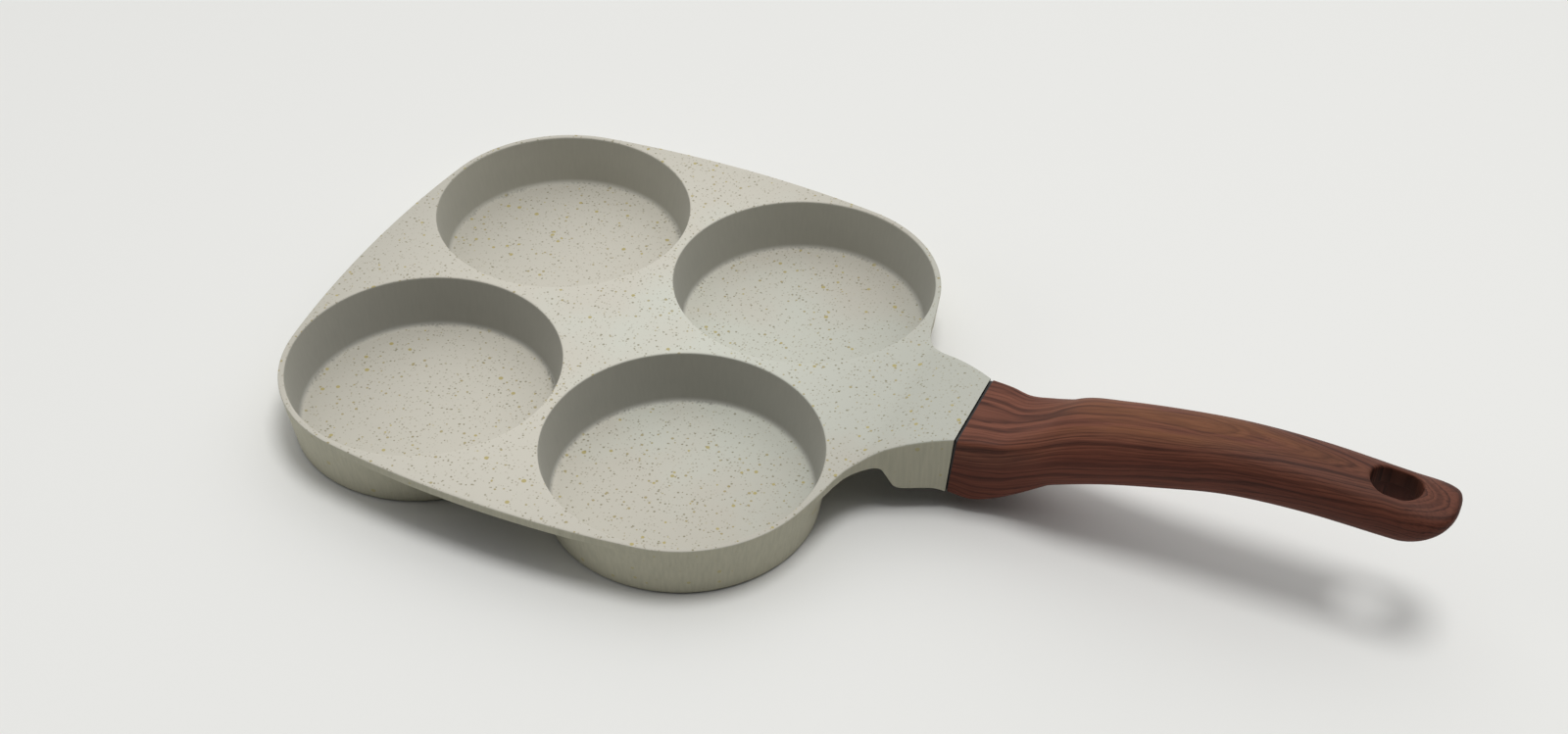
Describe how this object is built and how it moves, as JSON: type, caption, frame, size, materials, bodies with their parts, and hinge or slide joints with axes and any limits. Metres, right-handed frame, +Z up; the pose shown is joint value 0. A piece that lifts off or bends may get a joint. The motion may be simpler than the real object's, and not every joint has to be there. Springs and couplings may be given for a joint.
{
  "type": "omelette pan",
  "caption": "Omelette pan with shallow round cups cast into a stone-effect non-stick body, flared neck, and a wood-grain moulded handle with a hang slot.",
  "frame": {"origin": "on the table under the middle of the whole length, in the plane of symmetry", "axes": "+X along the pan towards the handle's end, +Z up out of the cups"},
  "size_m": [0.3714, 0.1944, 0.0514],
  "materials": {
    "stone_coat": "matte",
    "wood_print_phenolic": "satin",
    "plated_steel": "satin",
    "spring_steel": "satin",
    "ferritic_stainless": "satin"
  },
  "bodies": {
    "root": {"pan_casting": "stone_coat", "handle_grip": "wood_print_phenolic", "handle_screw": "plated_steel", "plain_washer": "plated_steel", "spring_washer": "spring_steel", "induction_disc_back_right": "ferritic_stainless", "induction_disc_back_left": "ferritic_stainless", "induction_disc_front_left": "ferritic_stainless", "induction_disc_front_right": "ferritic_stainless"}
  },
  "joints": []
}
